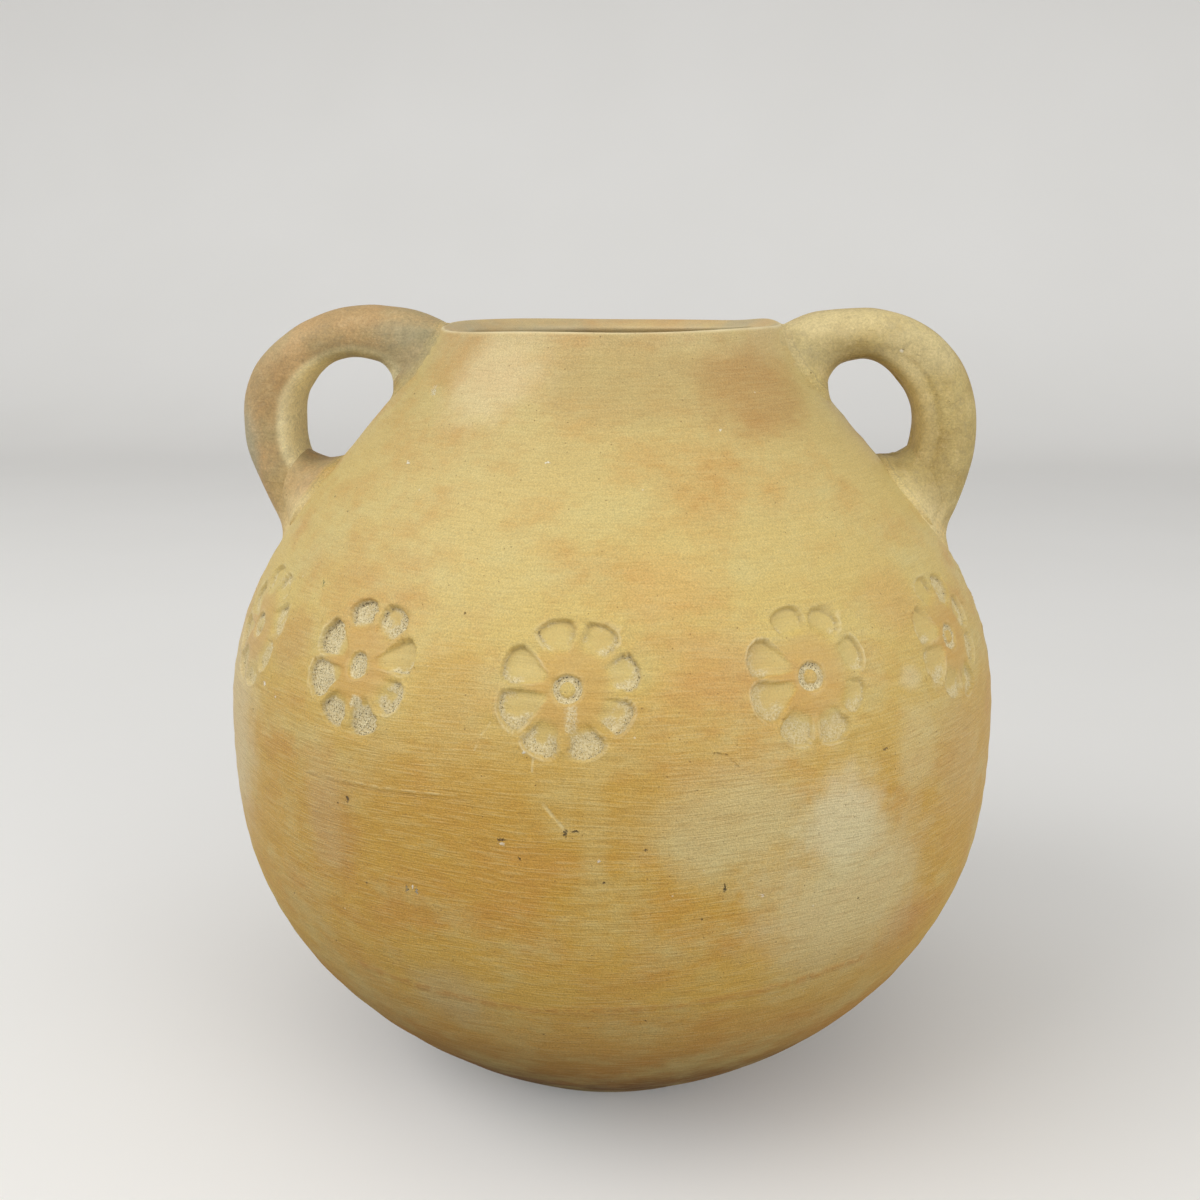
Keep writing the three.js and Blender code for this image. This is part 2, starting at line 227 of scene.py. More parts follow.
def stamp(x, y, index):
    """What a rosette does at a place x, y in millimetres from its middle: the lift of the surface in
    millimetres, then from 0 to 1 the slip broken away, the worn edge, the grime and painted shade in the
    deep edge, and the tint, from -1 on the ridges by the eye to 1 on the petal floors."""
    rng = np.random.default_rng(40 + index)
    lift, bare, worn, grime_and_shade, floor = (np.zeros_like(x) for _ in range(5))
    wobble = 0.20 * grain(x, y, 1.3, 7 + index) + 0.12 * grain(x, y, 0.6, 31 + index)
    for k, (degrees, half, end) in enumerate(PETALS):
        angle = math.radians(degrees + STAMPS[index][1] + rng.uniform(-0.8, 0.8))
        depth, end, half = rng.uniform(0.95, 1.3), end + rng.uniform(-0.25, 0.25), half + rng.uniform(-0.1, 0.1)
        depth = depth + 0.3 * (index == DEEPEST)
        start = 4.4 if k in (3, 4) else rng.choice([7.6, 8.6, 9.4])
        broken, skew = rng.uniform(0.6, 3.6), rng.uniform(-0.05, 0.05)
        start, broken = STARTS.get(index, {k: start})[k], BROKEN.get(index, {k: broken})[k]
        a = x * math.cos(angle) + y * math.sin(angle)
        b = -x * math.sin(angle) + y * math.cos(angle)
        edge = petal_edge(a, b + skew * (a - PETAL_MIDDLE), PETAL_TIP, end, half) + wobble
        within = smooth(0.10, -0.32, edge)
        lift = lift - depth * smooth(start - 0.6, 12.6, a) ** 0.75 * within
        shown = within * smooth(start, start + 2.5, a)
        down = PETAL_MIDDLE * math.sin(angle) - y
        band = broken + 0.35 * down + 2.2 * wobble
        torn = 0.9 * grain(x, y, 2.6, 60 + 8 * index + k)
        outer_part = smooth(9.0, 12.0, a + 0.3 * down + 0.5 * broken + torn)
        bare = np.maximum(bare, shown * smooth(band + 1.6, band - 0.8, -edge + torn) * outer_part)
        # Grime and painted shade in the deep outer edge: more on the upper petals, whose outer wall shades the floor
        # from the light above.
        upper = 0.5 + 0.5 * smooth(-0.4, 0.9, math.sin(angle) - 0.125 * down)
        grime_and_shade = np.maximum(grime_and_shade, shown * upper * smooth(0.9, 0.3, -edge + wobble) * smooth(9.5, 12.5, a))
        side = 0.5 + 0.5 * np.sin(np.arctan2(b, a - 10.5) + rng.uniform(0, 6.28))
        burr = bell(edge, 0.28, 0.24) * smooth(start, start + 4, a)
        lift = lift + burr * (0.05 + 0.2 * side * (0.6 + 0.4 * grain(a, b, 1.6, 90 + k)))
        worn, floor = np.maximum(worn, 0.8 * burr * side ** 2), np.maximum(floor, shown)
    away = np.hypot(x, y)
    ring = np.abs(away - EYE_RADIUS) + 0.8 * wobble
    groove, trail = smooth(EYE_GROOVE / 2 + 0.15, EYE_GROOVE / 2 - 0.4, ring), 0.0 * x
    if index == DEEPEST:
        groove = smooth(EYE_RADIUS + 0.9, EYE_RADIUS + 0.1, np.hypot(x * 1.15, y * 0.93) + wobble)
        trail = 0.9 * smooth(2.4, 1.2, np.hypot(x - 1.4, y + 8.0) + 2 * wobble)
    if index == TRAILING:
        trail = 0.65 * smooth(2.3, 0.6, np.abs(x - 1.2) + 2 * wobble) * smooth(-10.5, -8.5, y) * smooth(-2.4, -4.0, y)
    lift = lift - 0.7 * groove - 0.1 * smooth(1.7, 1.0, away)
    burr = bell(ring, EYE_GROOVE / 2 + 0.3, 0.26) * smooth(1.6, 2.4, away) * (0.5 + 0.5 * grain(x, y, 1.8, 5 + index))
    bare = np.maximum(np.maximum(SLIP_GONE.get(index, SLIP_GONE_ELSEWHERE) * bare, 0.95 * groove), trail)
    # Grime and painted shade in the upper half of the eye's groove, where its wall shades it from above.
    grime_and_shade = np.maximum(grime_and_shade, 0.8 * groove * smooth(0.6, 2.4, y) * smooth(2.2, 2.7, away))
    ridges = smooth(12.0, 6.0, away) * smooth(2.6, 3.8, away) * (1 - floor)
    return lift + 0.13 * burr, bare, np.maximum(worn, 0.35 * burr), grime_and_shade, floor - ridges


def spun(theta, run):
    """Points of the body at an angle round from +X and a running length along the turned line, with
    what the rosettes leave there and the share of unslipped inside face."""
    radius, y = wall_point(run)[0][..., 0], run - ring_at
    lift, marks = np.zeros(theta.shape), np.zeros(theta.shape + (5,))
    for index, (front_angle, _turn) in enumerate(STAMPS):
        x = wrap(theta - math.radians(front_angle - 90)) * radius
        near = (np.abs(y) < ROSETTE_HALF) & (np.abs(x) < ROSETTE_HALF + 2)
        if near.any():
            more, *seen = stamp(x[near], y[near], index)
            lift[near] += more
            marks[near, :4] += np.stack(seen, axis=-1)
    past = run - outer_length
    corners = 1.3 * bell(past, LIP_CORNER - 0.2, 0.55) + 0.6 * bell(past, LIP_LENGTH - LIP_CORNER, 0.9)
    marks[..., 1] = np.maximum(marks[..., 1], corners * (0.85 + 0.35 * grain(theta * 46.0, run, 5.0, 3)))
    marks[..., 4] = (0.35 * smooth(LIP_CORNER, LIP_CORNER + 1.5, past)
                     + 0.65 * smooth(LIP_LENGTH - 1.5, LIP_LENGTH + 1.5, past))
    return raised(theta, run, lift) * MM, marks


def strips(rows, around=True):
    """Four-cornered faces between rows of point numbers, closed round each row or not."""
    a, b = rows, np.roll(rows, -1, axis=1)
    faces = np.stack([a[:-1], b[:-1], b[1:], a[1:]], axis=-1)
    return faces[:, :None if around else -1].reshape(-1, 4).tolist()


def fan(middle, row):
    """Three-cornered faces from a middle point to a row of point numbers that closes on itself."""
    return np.stack([np.full(len(row), middle), row, np.roll(row, -1)], axis=1).tolist()


def numbered(columns, count, first=0):
    """Rows of consecutive point numbers."""
    return first + np.arange(columns * count).reshape(-1, columns)


# The body's net: level lines, evenly spaced, with a whole number of them across the rosettes, and
# the same for its columns.
COLUMNS, COLUMNS_PER_ROSETTE, HANGING, RINGS_OUT = 216, 12, 3, 3
face_low, face_high = ring_at - ROSETTE_HALF, ring_at + ROSETTE_HALF
low_run = np.linspace(0.0, face_low, 51)
lip_levels = np.concatenate([[1.2], LIP_CORNER + np.linspace(-1.1, 1.1, 7), [LIP_LENGTH / 2],
                             LIP_LENGTH - LIP_CORNER + np.linspace(-1.1, 1.1, 5), [LIP_LENGTH]])
level_run = np.concatenate([low_run, np.linspace(face_low, face_high, COLUMNS_PER_ROSETTE + 1)[1:],
                            np.linspace(face_high, outer_length, 27)[1:], outer_length + lip_levels,
                            np.linspace(outer_length + LIP_LENGTH, wall_run[-1], 34)[1:]])
first_level = len(low_run) - 1
theta_line = np.linspace(0, 2 * np.pi, COLUMNS, endpoint=False) - np.pi / 2
vertices, masks = [], []


def keep(points, marks):
    """Adds points with their marks to the body. Returns the number of the first one."""
    vertices.append(points.reshape(-1, 3))
    masks.append(marks.reshape(-1, 5))
    return sum(len(part) for part in vertices[:-1])


def disc(edge, radii, heights, inside):
    """Rings of the given radii and heights inside an edge, with a middle point. Returns the faces
    from the edge to the middle, wound for a surface that faces up."""
    rings = polar(theta_line, np.array(radii)[:, None], np.array(heights)[:, None]).reshape(-1, 3)
    points = np.vstack([rings, [0.0, 0.0, heights[-1]]]) * MM
    first = keep(points, np.tile([0.0, 0.0, 0.0, 0.0, inside], (len(points), 1)))
    rows = np.vstack([edge, numbered(COLUMNS, len(radii), first)])
    return strips(rows) + fan(first + len(rings), rows[-1])


# Flat underside with a softened edge, and the floor inside: rings that close on a middle point.
keep(*spun(*np.meshgrid(theta_line, level_run)))
wall_net = numbered(COLUMNS, len(level_run))
faces = disc(wall_net[-1], [36.0, 24.0, 12.0, 4.0], [FLOOR_HEIGHT] * 4, 1.0)
faces += [f[::-1] for f in disc(wall_net[0], [35.9, 35.2, 26.0, 14.0, 5.0], [0.05, 0.0, 0.0, 0.0, 0.0], 0.6)]

# Each rosette has its own fine net in a square gap of the wall's: rings and spokes that follow the
# petals, drawn out to the gap over the last rings, with three spokes to each edge of the wall's net.
# Beside each side of the gap: the wall's cell, as levels and columns from the corner, and its edge.
BESIDE = [(-1, 0, 2), (0, 0, 3), (0, -1, 0), (-1, -1, 1)]
SPOKES = 4 * COLUMNS_PER_ROSETTE * HANGING
ring_radius = np.concatenate([[0.5, 1.0], np.arange(1.35, 3.8, 0.3), np.arange(4.5, 11.8, 0.85),
                              np.linspace(12.1, 16.55, 15)])
walk = np.arange(SPOKES)
leg, step = np.divmod(walk, COLUMNS_PER_ROSETTE * HANGING)
ends = np.array([(-1.0, -1.0), (1.0, -1.0), (1.0, 1.0), (-1.0, 1.0)])
square = ends[leg] + (np.roll(ends, -1, axis=0) - ends)[leg] * (step / (COLUMNS_PER_ROSETTE * HANGING))[:, None]
spoke_angle = np.radians(-135.0 + 360.0 * walk / SPOKES)
spoke = np.stack([np.cos(spoke_angle), np.sin(spoke_angle)], 1)
share = (np.arange(1, RINGS_OUT + 1) / RINGS_OUT)[:, None, None]
net = np.concatenate([ring_radius[:, None, None] * spoke,
                      ring_radius[-1] * spoke * (1 - share) + ROSETTE_HALF * square * share])
on_corner = walk % HANGING == 0
corner_at = np.rint((square + 1) / 2 * COLUMNS_PER_ROSETTE).astype(int)
column_angle = 2 * np.pi / COLUMNS
plain, edge_cells = np.ones(wall_net[1:].shape, bool), {}
for front_angle, _turn in STAMPS:
    start = round(front_angle / 360 * COLUMNS) - COLUMNS_PER_ROSETTE // 2
    gap_columns = np.arange(start, start + COLUMNS_PER_ROSETTE) % COLUMNS
    plain[first_level:first_level + COLUMNS_PER_ROSETTE, gap_columns] = False
    levels, columns = first_level + corner_at[:, 1], (start + corner_at[:, 0]) % COLUMNS
    theta_middle = theta_line[0] + (start + COLUMNS_PER_ROSETTE / 2) * column_angle
    theta = theta_middle + net[..., 0] / (ROSETTE_HALF / (COLUMNS_PER_ROSETTE / 2 * column_angle))
    run = ring_at + net[..., 1]
    middle = keep(*spun(np.array([theta_middle]), np.array([ring_at])))
    first = keep(*spun(theta[:-1], run[:-1]))
    between = keep(*spun(theta[-1, ~on_corner], run[-1, ~on_corner]))
    outermost = wall_net[levels, columns]
    outermost[~on_corner] = between + np.arange((~on_corner).sum())
    rows = np.vstack([numbered(SPOKES, len(net) - 1, first), outermost])
    faces += [f[:1] + f[:0:-1] for f in strips(rows)] + fan(middle, rows[0])
    # The cells of the wall's net beside the gap take the extra points into their own outline.
    for at_corner in walk[on_corner]:
        up, right, slot = BESIDE[leg[at_corner]]
        cell = (levels[at_corner] + up, (columns[at_corner] + right) % COLUMNS)
        edge_cells.setdefault(cell, {})[slot] = outermost[at_corner + 1:at_corner + HANGING][::-1].tolist()
        plain[cell] = False
wall_faces = np.array(strips(wall_net))
faces += wall_faces[plain.ravel()].tolist()
for (level, column), slots in edge_cells.items():
    corners = wall_faces[level * COLUMNS + column].tolist()
    faces.append([point for i in range(4) for point in [corners[i]] + slots.get(i, [])])


def put_mesh(name, points, faces, **layers):
    """A smooth mesh object whose place is in its points, with named values kept on each point for
    its material."""
    mesh = bpy.data.meshes.new(name)
    mesh.from_pydata(np.asarray(points).tolist(), [], faces)
    mesh.polygons.foreach_set("use_smooth", np.ones(len(mesh.polygons), bool))
    for label, values in layers.items():
        layer = mesh.attributes.new(label, "FLOAT", "POINT")
        layer.data.foreach_set("value", np.ascontiguousarray(values, dtype=np.float32))
    mesh.update()
    piece = bpy.data.objects.new(name, mesh)
    bpy.context.scene.collection.objects.link(piece)
    return piece


def linear(code):
    """Linear light colour of an sRGB hex value."""
    channels = [int(code[i:i + 2], 16) / 255 for i in (1, 3, 5)]
    return [c / 12.92 if c <= 0.04045 else ((c + 0.055) / 1.055) ** 2.4 for c in channels] + [1.0]


def plug(node, values):
    """Sets a node's inputs by number or name: a socket is linked from, and an sRGB hex value is
    turned into a colour."""
    for key, value in values.items():
        if isinstance(value, bpy.types.NodeSocket):
            node.id_data.links.new(value, node.inputs[key])
        else:
            node.inputs[key].default_value = linear(value) if isinstance(value, str) else value


def blank(name):
    """A new material, the function that adds a node to it, its shader, and the place on the object in
    millimetres."""
    material = bpy.data.materials.new(name)
    material.use_nodes = True

    def add(kind, *values, out=0, **named):
        """Adds a shader node of a kind, with its operation after a space, and returns one output.
        Values go to its inputs in order, names with a capital are inputs and the others settings."""
        kind, _, operation = kind.partition(" ")
        node = material.node_tree.nodes.new("ShaderNode" + kind)
        if operation:
            node.operation = operation
        for key in [key for key in named if key.islower()]:
            setattr(node, key, named.pop(key))
        plug(node, {**dict(enumerate(values)), **named})
        return node.outputs[out]

    place = add("VectorMath SCALE", add("TexCoord", out="Object"), Scale=1 / MM)
    return material, add, material.node_tree.nodes["Principled BSDF"], place


def tint(add, colour, field, low, high, code, strength=1.0):
    """Lays another colour over a colour: none where a field is at low, its strength at high."""
    return add("MixRGB", add("MapRange", field, low, high, 0.0, strength), colour, code)


def oval(add, place, rough_edge, raggedness, spot, size):
    """Distance from a spot as a share of an oval's half sizes in millimetres, with a ragged edge."""
    scaled = add("VectorMath MULTIPLY", add("VectorMath SUBTRACT", place, spot), [1.0 / v for v in size])
    return add("Math MULTIPLY_ADD", rough_edge, raggedness, add("VectorMath LENGTH", scaled, out="Value"))


def clouded(add, place, rough_edge, colour, patches):
    """Tints the colour in an oval round each spot, in millimetres, with a soft ragged edge."""
    for spot, size, code, strength in patches:
        reach = oval(add, place, rough_edge, 1.1, spot, size)
        amount = add("MapRange", reach, 1.95, 1.0, 0.0, strength, interpolation_type="SMOOTHSTEP")
        colour = add("MixRGB", amount, colour, code)
    return colour


def pitted(add, place, rough_edge, colour, height, marks, reach_in):
    """Pits and chips: at each spot a small ragged oval of another colour, reaching in by a half size
    and sunk by a depth in millimetres."""
    for spot, half_width, half_height, code, depth in marks:
        reach = oval(add, place, rough_edge, 3.4, spot, (half_width, reach_in, half_height))
        amount = add("MapRange", reach, 2.5, 1.95, 0.0, 0.85)
        colour, height = add("MixRGB", amount, colour, code), add("Math MULTIPLY_ADD", amount, -depth, height)
    return colour, height


def scratch(add, place, broken, colour, height, start, end, width, code, depth):
    """A straight score on the front of the jar between two places given by X and Z in millimetres:
    the distance from the line between them, taken level with the front, fades its colour and depth,
    and a broken field interrupts it."""
    leg = (end[0] - start[0], 0.0, end[1] - start[1])
    length = math.hypot(*leg)
    flat = add("VectorMath MULTIPLY", place, (1.0, 0.0, 1.0))
    offset = add("VectorMath SUBTRACT", flat, (start[0], 0.0, start[1]))
    share = add("Clamp", add("VectorMath DOT_PRODUCT", offset, [v / length ** 2 for v in leg], out="Value"))
    foot = add("VectorMath SCALE", leg, Scale=share)
    reach = add("VectorMath DISTANCE", offset, foot, out="Value")
    near = add("MapRange", reach, width * 1.5, width * 0.4)
    front = add("Math LESS_THAN", add("SeparateXYZ", place, out="Y"), -20.0)
    amount = add("Math MULTIPLY", add("Math MULTIPLY", near, front), broken)
    colour = add("MixRGB", add("Math MULTIPLY", amount, 0.55), colour, code)
    return colour, add("Math MULTIPLY_ADD", amount, -depth, height)


# The slip's colour up the jar, by share of its height. The dark stops at the foot are painted shade
# under the jar, where the underside turns away from the light.
SLIP_TONES_WITH_FOOT_SHADE = [(0.0, "#34210d"), (0.06, "#4b3116"), (0.12, "#7f5825"), (0.174, "#b48b46"), (0.24, "#caa053"),
         (0.30, "#d0aa54"), (0.42, "#c69c43"), (0.52, "#c79e45"), (0.60, "#c9a856"), (0.70, "#d0b66a"),
         (0.82, "#cfb773"), (0.94, "#c6af71"), (1.0, "#c8b07a")]
# Cloudy patches of the slip: spot, half sizes, colour and strength. The last four are at the back.
# The pale oval high on the left of the neck is a painted highlight, and the two cream ovals low on
# the right front are paler slip brightened further as a painted sheen.
SLIP_PATCHES_AND_SHEEN = [
    ((31, -92, 140), (12, 12, 10), "#c9954f", 0.4), ((-56, -88, 98), (9, 9, 12), "#b98645", 0.5),
    # The second oval here, at (60, -85, 104), is paler slip brightened further as a painted sheen.
    ((76, -67, 68), (13, 13, 10), "#bf8c54", 0.5), ((60, -85, 104), (11, 11, 11), "#ddd0a6", 0.8),
    ((77, -69, 116), (8, 8, 12), "#d6c896", 0.4), ((75, -67, 131), (4, 4, 3), "#ddd0a6", 0.4),
    ((35, -98, 106), (20, 20, 13), "#d0c492", 0.6), ((6, -104, 107), (3, 6, 18), "#ccb878", 0.4),
    ((-59, -87, 104), (6, 6, 20), "#cfba8a", 0.25), ((70, -59, 147), (9, 9, 9), "#c9954f", 0.35),
    ((86, -55, 111), (9, 9, 12), "#b98f4e", 0.35), ((36, -38, 193), (18, 18, 12), "#b08549", 0.65),
    ((6, -50, 196), (20, 14, 11), "#b89f66", 0.6), ((-28, -92, 60), (10, 10, 10), "#bfae84", 0.45),
    ((0, -103, 116), (34, 34, 15), "#bd913d", 0.3), ((-34, -97, 112), (24, 24, 14), "#c0923f", 0.3),
    ((20, -86, 155), (12, 12, 8), "#d29f58", 0.35), ((88, -52, 110), (14, 14, 20), "#caa765", 0.5),
    # The first oval here, at (60, -80, 84), is paler slip brightened further as a painted sheen.
    ((60, -80, 84), (24, 24, 22), "#d4c899", 0.65), ((-92, -46, 112), (16, 22, 30), "#d6c59a", 0.65),
    ((-70, -68, 137), (8, 8, 8), "#b98440", 0.4), ((-27, -99, 137), (9, 12, 12), "#c2963c", 0.5),
    # The first oval here, at (-23, -44, 194), is a painted highlight on the left of the neck.
    ((-23, -44, 194), (14, 12, 13), "#ddcb9a", 0.6), ((58, -74, 60), (24, 24, 14), "#bd9a55", 0.4),
    ((60, 80, 110), (25, 25, 20), "#c99650", 0.4), ((-40, 92, 90), (20, 20, 25), "#cfc19a", 0.5),
    ((-90, 40, 120), (18, 18, 16), "#b88a48", 0.45), ((95, 30, 80), (18, 18, 20), "#c8b684", 0.45),
]
# Grains in the slip: cells to the millimetre, size, share left out, colour, strength and rise.
GRAINS = [(0.5, 0.11, 0.6, "#7a5a2a", 0.6, -0.06), (0.13, 0.04, 0.7, "#e9dfc2", 0.5, 0.05),
          (0.17, 0.055, 0.8, "#5c4522", 0.7, -0.25)]


def slipped(add, place):
    """Ochre slip brushed on the turning wheel and fired once: a matt, slightly polished clay surface
    with level brush lines about 0.7 mm apart, cloudy orange and pale patches, fine sand and
    scattered pits. Returns its colour and its height in millimetres."""
    z = add("SeparateXYZ", place, out="Z")
    tall = add("VectorMath MULTIPLY", place, (1.0, 1.0, 1.7))
    cloud = add("TexNoise", tall, Scale=0.028, Detail=5.0, Roughness=0.66)
    shifted = add("VectorMath ADD", tall, (40.0, -70.0, 15.0))
    haze = add("TexNoise", shifted, Scale=0.045, Detail=6.0, Roughness=0.66)
    colour = add("ValToRGB", add("Math DIVIDE", z, 207.0))
    elements = colour.node.color_ramp.elements
    while len(elements) < len(SLIP_TONES_WITH_FOOT_SHADE):
        elements.new(0.5)
    for element, (position, code) in zip(elements, SLIP_TONES_WITH_FOOT_SHADE):
        element.position, element.color = position, linear(code)
    colour = tint(add, colour, cloud, 0.47, 0.66, "#c28c42", 0.6)
    colour = tint(add, colour, haze, 0.48, 0.68, "#cdbd7e", 0.6)
    ragged = add("TexNoise", place, Scale=0.12, Detail=4.0, Roughness=0.65)
    colour = clouded(add, place, ragged, colour, SLIP_PATCHES_AND_SHEEN)

    # Brush lines: noise squeezed in height and drawn out round the jar, wandering a little, over
    # broader bands a few millimetres high. They show half as much above the rosettes.
    wander = add("TexNoise", place, Scale=0.02, Detail=1.0)
    drift = add("Math MULTIPLY_ADD", wander, 5.0, z)
    flat = add("VectorMath MULTIPLY", place, (0.055, 0.055, 0.0))
    level = add("VectorMath ADD", flat, add("CombineXYZ", 0.0, 0.0, drift))
    lines = add("TexNoise", level, Scale=2.7, Detail=1.5, Roughness=0.55)
    bands = add("TexNoise", level, Scale=0.3, Detail=2.0, Roughness=0.6)
    both = add("Math SUBTRACT", add("Math MULTIPLY_ADD", bands, 0.22, lines), 0.61)
    low_half = add("MapRange", z, 165.0, 105.0, 0.45, 1.0, interpolation_type="SMOOTHSTEP")
    ringed = add("Math MULTIPLY", both, low_half)
    colour = tint(add, colour, ringed, 0.0, -0.2, "#9c7432", 0.24)
    colour = tint(add, colour, ringed, 0.0, 0.2, "#dcca90", 0.26)

    # Fine sand in the slip, about half a millimetre, and dark and white grains.
    sand = add("TexNoise", place, Scale=2.7, Detail=2.0, Roughness=0.7)
    colour = add("MixRGB", 1.0, colour, add("MapRange", sand, 0.3, 0.7, 0.8, 1.18), blend_type="MULTIPLY")
    height = add("Math MULTIPLY_ADD", sand, 0.13, add("Math MULTIPLY", ringed, 0.14))
    for scale, reach, left_out, code, strength, rise in GRAINS:
        distance = add("TexVoronoi", place, Scale=scale, out="Distance")
        near = add("MapRange", distance, reach, reach * 0.55)
        kept = add("Math GREATER_THAN", add("SeparateXYZ", distance.node.outputs["Color"]), left_out)
        grain_at = add("Math MULTIPLY", near, kept)
        colour = add("MixRGB", add("Math MULTIPLY", grain_at, strength), colour, code)
        height = add("Math MULTIPLY_ADD", grain_at, rise, height)
    return colour, height


def clad(add, shader, colour, height, roughness, specular):
    """Gives a shader its colour, its relief in millimetres, its roughness and its specular level."""
    bump = add("Bump", Height=height, Distance=MM, Strength=1.0)
    plug(shader, {"Base Color": colour, "Roughness": roughness, "Specular IOR Level": specular, "Normal": bump})


# Pits and chips seen on the front: spot, half width and half height, colour and depth in millimetres.
MARKS = [
    ((-0.1, -104.7, 105.8), 0.5, 1.0, "#332414", 0.5), ((2.0, -104.6, 106.4), 0.9, 0.35, "#3a2a18", 0.4),
    ((33.8, -99.1, 92.0), 0.5, 0.9, "#1e1711", 0.5), ((-14.0, -103.9, 103.5), 1.0, 0.5, "#5b4334", 0.5),
    ((-14.0, -103.9, 102.6), 1.0, 0.5, "#e6d8bd", -0.1), ((-10.1, -104.5, 99.5), 0.35, 0.6, "#2d2116", 0.4),
    ((7.1, -104.7, 99.7), 0.55, 0.4, "#eee3d2", -0.1), ((8.1, -104.5, 94.8), 0.35, 0.35, "#4a3520", 0.3),
    ((16.8, -103.5, 102.1), 0.5, 0.4, "#4a3823", 0.3), ((-36.7, -97.9, 88.1), 0.5, 1.1, "#8d8672", 0.3),
    ((-34.3, -98.7, 87.7), 0.4, 1.2, "#a7a596", 0.25), ((-35.3, -98.4, 88.9), 0.35, 0.8, "#e6e2d2", -0.05),
    ((-41.0, -37.2, 193.2), 1.1, 1.5, "#ece6cd", 0.1), ((-44.2, -52.7, 177.1), 0.8, 0.5, "#eee8d3", 0.1),
    ((-8.5, -66.2, 179.4), 0.9, 0.35, "#f0ead6", 0.1), ((41.9, -95.8, 89.2), 1.0, 0.5, "#ead9c4", 0.1),
    ((-51.2, -91.3, 106.3), 0.5, 1.0, "#4b3720", 0.4), ((-9.0, -102.3, 122.9), 0.6, 0.6, "#f3efe2", -0.1),
    ((-62.2, -66.4, 150.2), 0.4, 1.3, "#5d6b3a", 0.1), ((68.9, -77.5, 117.6), 0.9, 0.35, "#6b5230", 0.2),
    ((-78.1, -65.9, 124.9), 0.6, 0.6, "#efe8da", -0.1), ((-73.6, -71.4, 123.3), 0.4, 0.4, "#efe8da", -0.1),
    ((30.5, -53.2, 185.7), 0.45, 0.4, "#f2ecd8", 0.05),
]
# Scores and ridges seen on the front: ends by X and Z, half width, colour and depth.
SCORES = [
    ((-63, 109.0), (-21, 111.5), 0.3, "#b58e48", 0.12), ((-62, 110.0), (-24, 112.3), 0.25, "#dcc486", -0.08),
    ((31.0, 122.4), (33.6, 121.9), 0.25, "#7a5e34", 0.25), ((33.6, 121.9), (36.0, 119.2), 0.25, "#7a5e34", 0.25),
    ((-4.8, 112.0), (0.1, 106.2), 0.4, "#e2d29c", 0.1), ((-16.7, 128.4), (-18.6, 125.8), 0.25, "#e2d09a", 0.15),
    ((-18.6, 125.8), (-20.0, 122.6), 0.25, "#e2d09a", 0.15), ((-7.1, 121.7), (-7.3, 119.1), 0.25, "#e2d09a", 0.1),
    ((-6, 59.6), (66, 64.6), 1.2, "#bf8a42", -0.12), ((-52, 61.3), (-8, 59.5), 1.1, "#bf8c48", -0.08),
]
MARK_REACH = 3.0
clay, add, shader, place = blank("slipped_earthenware")
colour, height = slipped(add, place)
chipped = add("TexNoise", place, Scale=2.0, Detail=2.0, Roughness=0.7)
colour, height = pitted(add, place, chipped, colour, height, MARKS, MARK_REACH)
faint = add("TexNoise", place, Scale=0.35, Detail=3.0, Roughness=0.7)
faint = add("MapRange", faint, 0.38, 0.58, 0.1, 1.0)
for start, end, width, code, depth in SCORES:
    colour, height = scratch(add, place, faint, colour, height, start, end, width, code, depth)

# Petal floors are pressed smooth and paler, and the ridges by the eye are rubbed orange.
pressed = add("Attribute", attribute_name="pressed", out="Fac")
colour = tint(add, colour, pressed, 0.0, 1.0, "#d0bb7a", 0.45)
colour = tint(add, colour, pressed, 0.0, -1.0, "#c48f44", 0.4)

# Bare sandy clay where the stamp broke the slip: pale grit with dark grains of a fifth of a millimetre,
# crowded in the deep edges.
grit = add("TexNoise", place, Scale=2.2, Detail=2.0, Roughness=0.7)
sandy = add("MixRGB", add("MapRange", grit, 0.3, 0.7), "#bfa975", "#efe4bd")
bare = add("Attribute", attribute_name="bare_clay", out="Fac")
broken = add("MapRange", add("Math MULTIPLY_ADD", grit, 1.1, bare), 0.75, 1.25)
broken = add("Math MULTIPLY", broken, bare)
colour = add("MixRGB", broken, colour, sandy)
# Grime and painted shade in the deep edges of the stamps: a dark tint there, with the dark grains crowded in.
grime_and_shade = add("Attribute", attribute_name="deep_grime_and_shade", out="Fac")
reach = add("Math MULTIPLY", add("Math MULTIPLY_ADD", grime_and_shade, 0.5, broken), 0.3)
black = add("Math SUBTRACT", reach, add("TexVoronoi", place, Scale=2.3, out="Distance"))
black = add("MapRange", black, 0.0, 0.1, 0.0, 0.85)
colour = add("MixRGB", black, colour, "#463a28")
colour = tint(add, colour, grime_and_shade, 0.0, 1.0, "#8a744a", 0.3)
rough_sand = add("Math MULTIPLY_ADD", grit, 0.35, add("Math MULTIPLY", black, -0.25))
height = add("Math MULTIPLY_ADD", rough_sand, bare, height)

# Worn lip and burrs are rubbed pale; the inside is unslipped buff clay, smoked blue-grey under the lip.
worn = add("Attribute", attribute_name="worn_edge", out="Fac")
colour = add("MixRGB", add("Math MULTIPLY", worn, 0.6, use_clamp=True), colour, "#ecdcae")
smoke = add("TexNoise", place, Scale=0.05, Detail=4.0, Roughness=0.6)
buff = add("MixRGB", add("MapRange", smoke, 0.46, 0.64), "#cfae7c", "#a5a08a")
colour = add("MixRGB", add("Attribute", attribute_name="inside_face", out="Fac"), colour, buff)
low_down = add("MapRange", add("SeparateXYZ", place, out="Z"), 95.0, 25.0, 0.47, 0.9)
clad(add, shader, colour, height, add("Math MULTIPLY_ADD", bare, 0.4, low_down, use_clamp=True), 0.4)

